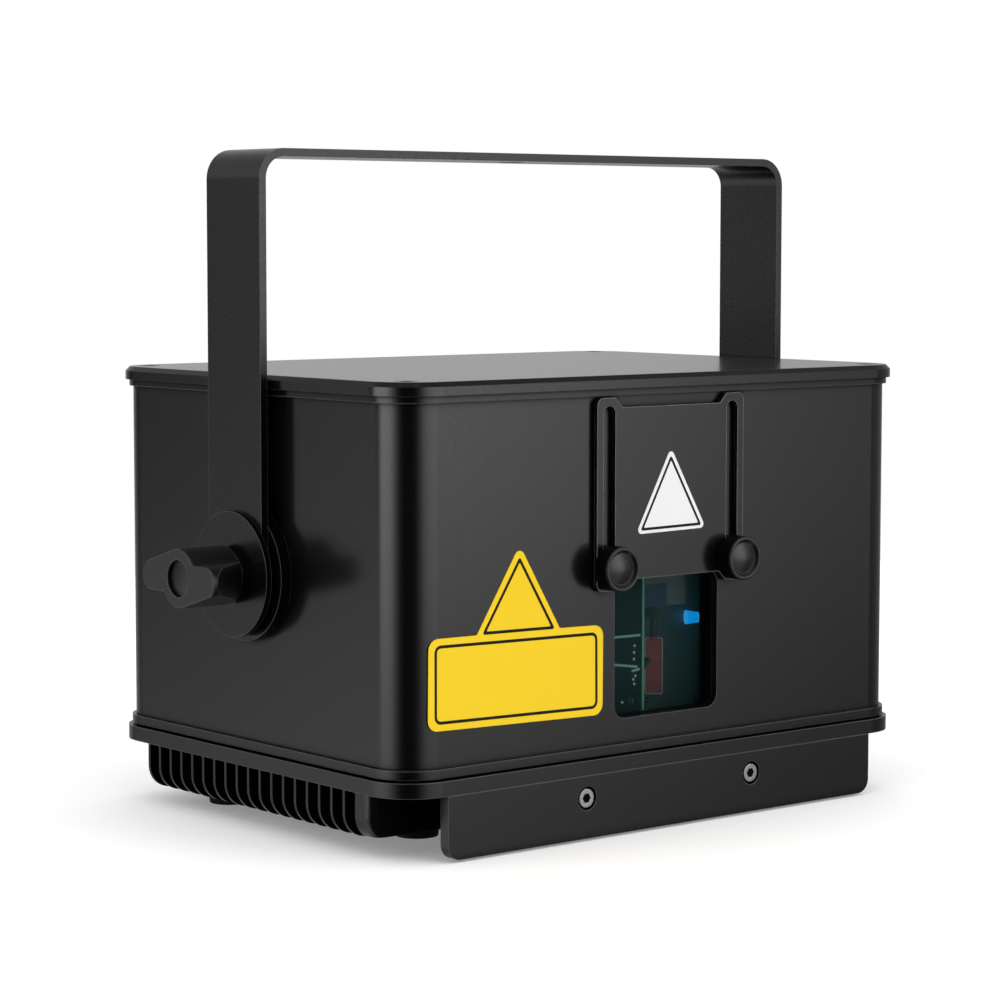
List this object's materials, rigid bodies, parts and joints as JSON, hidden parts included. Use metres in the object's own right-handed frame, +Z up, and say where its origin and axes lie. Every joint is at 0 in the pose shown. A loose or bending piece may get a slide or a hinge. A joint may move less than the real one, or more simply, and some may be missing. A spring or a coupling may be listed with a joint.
{
  "type": "laser show projector",
  "caption": "Black laser projector with a finned heat sink, tilting yoke with wing knobs, square beam window and a slotted sliding shutter plate held by thumb knobs.",
  "frame": {"origin": "on the surface that the feet stand on, below the middle of the housing and the yoke's pivot line", "axes": "+Z up, +X along the yoke's pivot line to the right seen from the front, -Y out of the beam window"},
  "size_m": [0.3174, 0.2065, 0.2546],
  "materials": {
    "black_case": "black satin coat",
    "black_fins": "black anodised",
    "black_steel": "black satin coat",
    "black_plastic": "fine grain",
    "friction_disc": "smooth",
    "rubber": "matt",
    "stainless": "turned",
    "socket_metal": "plated",
    "bare_aluminium": "milled",
    "supply_case": "plain sheet",
    "circuit_board": "lacquer",
    "mirror": "polished",
    "window_glass": "coated clear"
  },
  "bodies": {
    "projector": {"housing_tube": "black_case", "top_cover": "black_case", "upper_frame": "black_case", "lower_frame": "black_case", "base_flange": "black_case", "front_skirt": "black_case", "rear_panel": "black_case", "window_frame": "black_case", "heat_sink": "black_fins", "safety_lug": "black_steel", "power_inlet": "black_plastic", "rocker_frame": "black_plastic", "fan_frame": "black_plastic", "galvo_plug": "black_plastic", "inner_discs": "friction_disc", "rubber_feet": "rubber", "base_gasket": "rubber", "skirt_screws": "stainless", "skirt_spacers": "stainless", "cover_screws": "stainless", "base_screws": "stainless", "panel_screws": "stainless", "thumb_studs": "stainless", "slide_washers": "stainless", "stud_nuts": "stainless", "pivot_studs": "stainless", "pivot_bushes": "stainless", "board_posts": "stainless", "data_socket": "socket_metal", "signal_sockets": "socket_metal", "key_switch": "socket_metal", "optics_plate": "bare_aluminium", "laser_red": "bare_aluminium", "laser_green": "bare_aluminium", "laser_blue": "bare_aluminium", "mirror_mounts": "bare_aluminium", "scanner_block": "bare_aluminium", "galvo_motor_x": "bare_aluminium", "galvo_motor_y": "bare_aluminium", "power_supply": "supply_case", "scanner_board": "circuit_board", "control_board": "circuit_board", "combiner_mirrors": "mirror", "window_glass": "window_glass"},
    "yoke": {"yoke": "black_steel", "outer_discs": "friction_disc"},
    "shutter": {"shutter_plate": "black_steel"},
    "thumb_left": {"thumb_knob_left": "black_plastic"},
    "thumb_right": {"thumb_knob_right": "black_plastic"},
    "knob_left": {"side_knob_left": "black_plastic", "knob_cap_left": "black_plastic"},
    "knob_right": {"side_knob_right": "black_plastic", "knob_cap_right": "black_plastic"},
    "scan_x": {"scan_mirror_x": "mirror"},
    "scan_y": {"scan_mirror_y": "mirror"},
    "fan": {"fan_rotor": "black_plastic"},
    "key": {"key_rotor": "socket_metal"},
    "rocker": {"power_rocker": "black_plastic"}
  },
  "joints": [
    {"name": "yoke_tilt", "type": "hinge", "parent": "projector", "child": "yoke", "pos_m": [0, 0, 0.0976], "axis": [1, 0, 0], "range_deg": [-120, 120]},
    {"name": "shutter_slide", "type": "slide", "parent": "projector", "child": "shutter", "axis": [0, 0, 1], "range_m": [-0.056, 0]},
    {"name": "thumb_left_turn", "type": "hinge", "parent": "projector", "child": "thumb_left", "pos_m": [-0.0311, -0.098, 0.1008], "axis": [0, -1, 0], "range_deg": [0, 360]},
    {"name": "thumb_right_turn", "type": "hinge", "parent": "projector", "child": "thumb_right", "pos_m": [0.0311, -0.098, 0.1008], "axis": [0, -1, 0], "range_deg": [0, 360]},
    {"name": "knob_left_turn", "type": "hinge", "parent": "projector", "child": "knob_left", "pos_m": [-0.148, 0, 0.0976], "axis": [-1, 0, 0], "range_deg": [0, 360]},
    {"name": "knob_right_turn", "type": "hinge", "parent": "projector", "child": "knob_right", "pos_m": [0.148, 0, 0.0976], "axis": [1, 0, 0], "range_deg": [0, 360]},
    {"name": "scan_x_turn", "type": "hinge", "parent": "projector", "child": "scan_x", "pos_m": [0.011, -0.0726, 0.07], "axis": [0, 0, 1], "range_deg": [-12, 12]},
    {"name": "scan_y_turn", "type": "hinge", "parent": "projector", "child": "scan_y", "pos_m": [0.0035, -0.062, 0.0596], "axis": [0, 1, 0], "range_deg": [-12, 12]},
    {"name": "fan_spin", "type": "hinge", "parent": "projector", "child": "fan", "pos_m": [-0.05422, 0.08, 0.0992], "axis": [0, 1, 0], "continuous": true},
    {"name": "key_turn", "type": "hinge", "parent": "projector", "child": "key", "pos_m": [0.0743, 0.09, 0.13023], "axis": [0, 1, 0], "range_deg": [0, 90]},
    {"name": "rocker_tip", "type": "hinge", "parent": "projector", "child": "rocker", "pos_m": [0.0743, 0.0951, 0.10421], "axis": [-1, 0, 0], "range_deg": [0, 16]}
  ]
}
